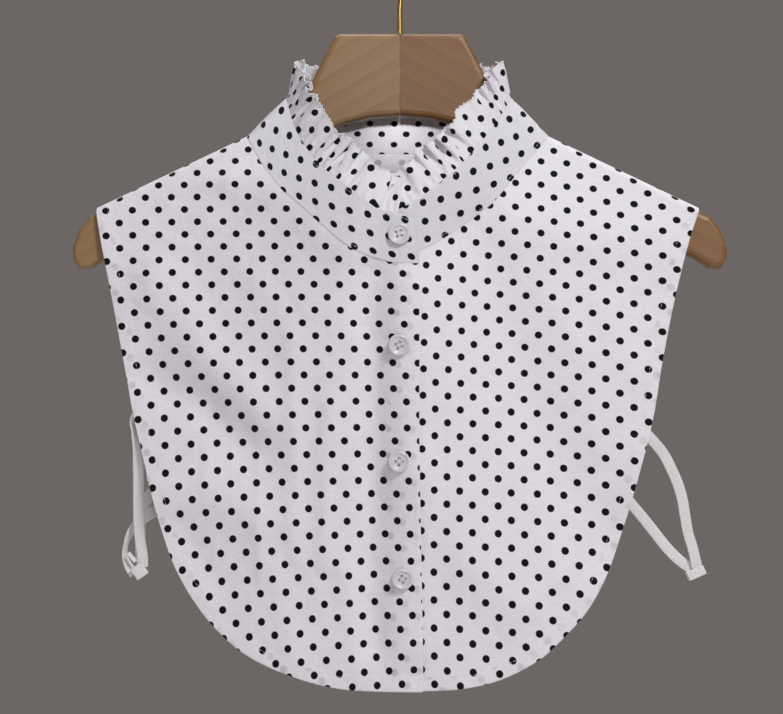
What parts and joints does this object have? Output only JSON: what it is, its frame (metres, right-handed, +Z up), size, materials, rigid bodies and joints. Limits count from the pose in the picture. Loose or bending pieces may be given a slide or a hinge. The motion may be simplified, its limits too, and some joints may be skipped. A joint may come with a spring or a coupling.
{
  "type": "dickey on a hanger",
  "caption": "Detachable false blouse front in polka dot cotton with a ruffled stand collar, a buttoned placket and elastic side straps, hanging on a flat wooden hanger.",
  "frame": {"origin": "inside top of the hook, where the hanger rests on a rod", "axes": "+Z up, +X towards the wearer's left, -Y is the front of the garment"},
  "size_m": [0.3896, 0.0941, 0.4718],
  "materials": {
    "cotton": "plain woven cotton, black dots on white",
    "elastic": "woven white elastic",
    "button": "milky translucent, polished",
    "wood": "sanded, matte clear lacquer",
    "hook": "polished wire"
  },
  "bodies": {
    "root": {"front_right": "cotton", "front_left": "cotton", "back_panel": "cotton", "placket": "cotton", "collar_stand": "cotton", "collar_ruffle": "cotton", "button_1": "button", "button_2": "button", "button_3": "button", "button_4": "button", "strap_right_front": "elastic", "strap_right_back": "elastic", "strap_right_side": "elastic", "strap_right_tail": "elastic", "knot_right": "elastic", "strap_left_front": "elastic", "strap_left_back": "elastic", "knot_left": "elastic", "hanger_right": "wood", "hanger_left": "wood", "hook": "hook"}
  },
  "joints": []
}
